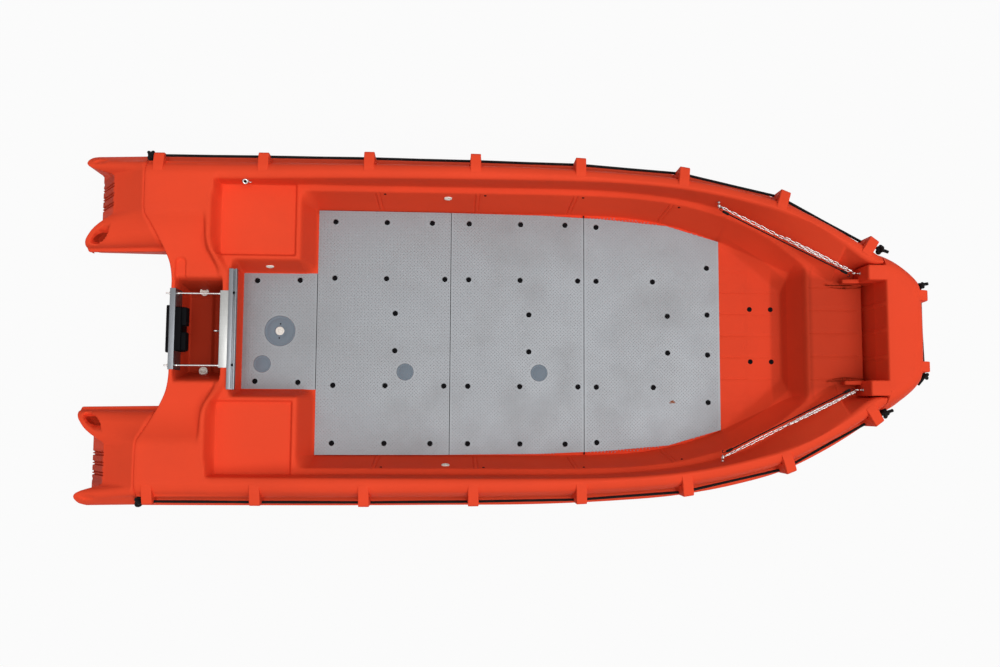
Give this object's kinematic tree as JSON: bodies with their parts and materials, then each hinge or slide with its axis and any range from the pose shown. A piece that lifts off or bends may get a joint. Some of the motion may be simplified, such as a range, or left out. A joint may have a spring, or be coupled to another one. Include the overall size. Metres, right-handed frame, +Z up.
{
  "type": "plastic workboat",
  "caption": "Open double-walled plastic workboat with a fold-down bow door, aluminium floor, motor well, stern floats and grab lines.",
  "frame": {"origin": "on the floor under the middle of the boat's box", "axes": "+X to the bow, +Y to port, +Z up"},
  "size_m": [4.9921, 2.0724, 0.8],
  "materials": {
    "orange_plastic": "satin moulded",
    "tread_plate": "fine tread",
    "hatch_grey": "satin",
    "bare_aluminium": "mill finish",
    "black_plastic": "satin",
    "white_plastic": "gloss",
    "stainless_steel": "polished",
    "black_rope": "braided"
  },
  "bodies": {
    "hull_body": {"aft_floor_plate": "tread_plate", "aft_rail": "bare_aluminium", "after_middle_floor_plate": "tread_plate", "deck_hook": "stainless_steel", "door_hinge_fixed": "stainless_steel", "door_hinge_pin": "stainless_steel", "flush_covers": "hatch_grey", "forward_floor_plate": "tread_plate", "forward_middle_floor_plate": "tread_plate", "hull": "orange_plastic", "inspection_hatch": "hatch_grey", "motor_pad_inner": "black_plastic", "motor_pad_outer": "black_plastic", "port_chain": "stainless_steel", "port_grab_line": "black_rope", "port_hull_eye": "stainless_steel", "port_shock_cord": "black_rope", "port_stern_float": "orange_plastic", "rail_plugs": "black_plastic", "starboard_chain": "stainless_steel", "starboard_grab_line": "black_rope", "starboard_hull_eye": "stainless_steel", "starboard_shock_cord": "black_rope", "starboard_stern_float": "orange_plastic", "transom_inner_cap": "bare_aluminium", "transom_outer_cap": "bare_aluminium", "transom_tie_rods": "stainless_steel", "wall_drain_caps": "white_plastic", "well_drain_plugs": "white_plastic", "well_eye_bolt": "stainless_steel"},
    "bow_door_body": {"bow_door": "orange_plastic", "door_hinge_moving": "stainless_steel", "port_door_eye": "stainless_steel", "starboard_door_eye": "stainless_steel", "bow_line": "black_rope"},
    "port_slack_chain_body": {"port_slack_chain": "stainless_steel"},
    "starboard_slack_chain_body": {"starboard_slack_chain": "stainless_steel"}
  },
  "joints": [
    {"name": "bow_door_hinge", "type": "hinge", "parent": "hull_body", "child": "bow_door_body", "pos_m": [2.195, 0, 0.385], "axis": [0, 1, 0], "range_deg": [0, 90]},
    {"name": "port_slack_chain_hinge", "type": "hinge", "parent": "bow_door_body", "child": "port_slack_chain_body", "pos_m": [2.046, 0.345, 0.68], "axis": [0.1579, -0.8514, 0.5002], "range_deg": [0, 86]},
    {"name": "starboard_slack_chain_hinge", "type": "hinge", "parent": "bow_door_body", "child": "starboard_slack_chain_body", "pos_m": [2.046, -0.345, 0.68], "axis": [-0.1579, -0.8514, -0.5002], "range_deg": [0, 86]}
  ],
  "couplings": [
    {"joint": "port_slack_chain_hinge", "follows": "bow_door_hinge", "ratio": 0.9533},
    {"joint": "starboard_slack_chain_hinge", "follows": "bow_door_hinge", "ratio": 0.9533}
  ]
}
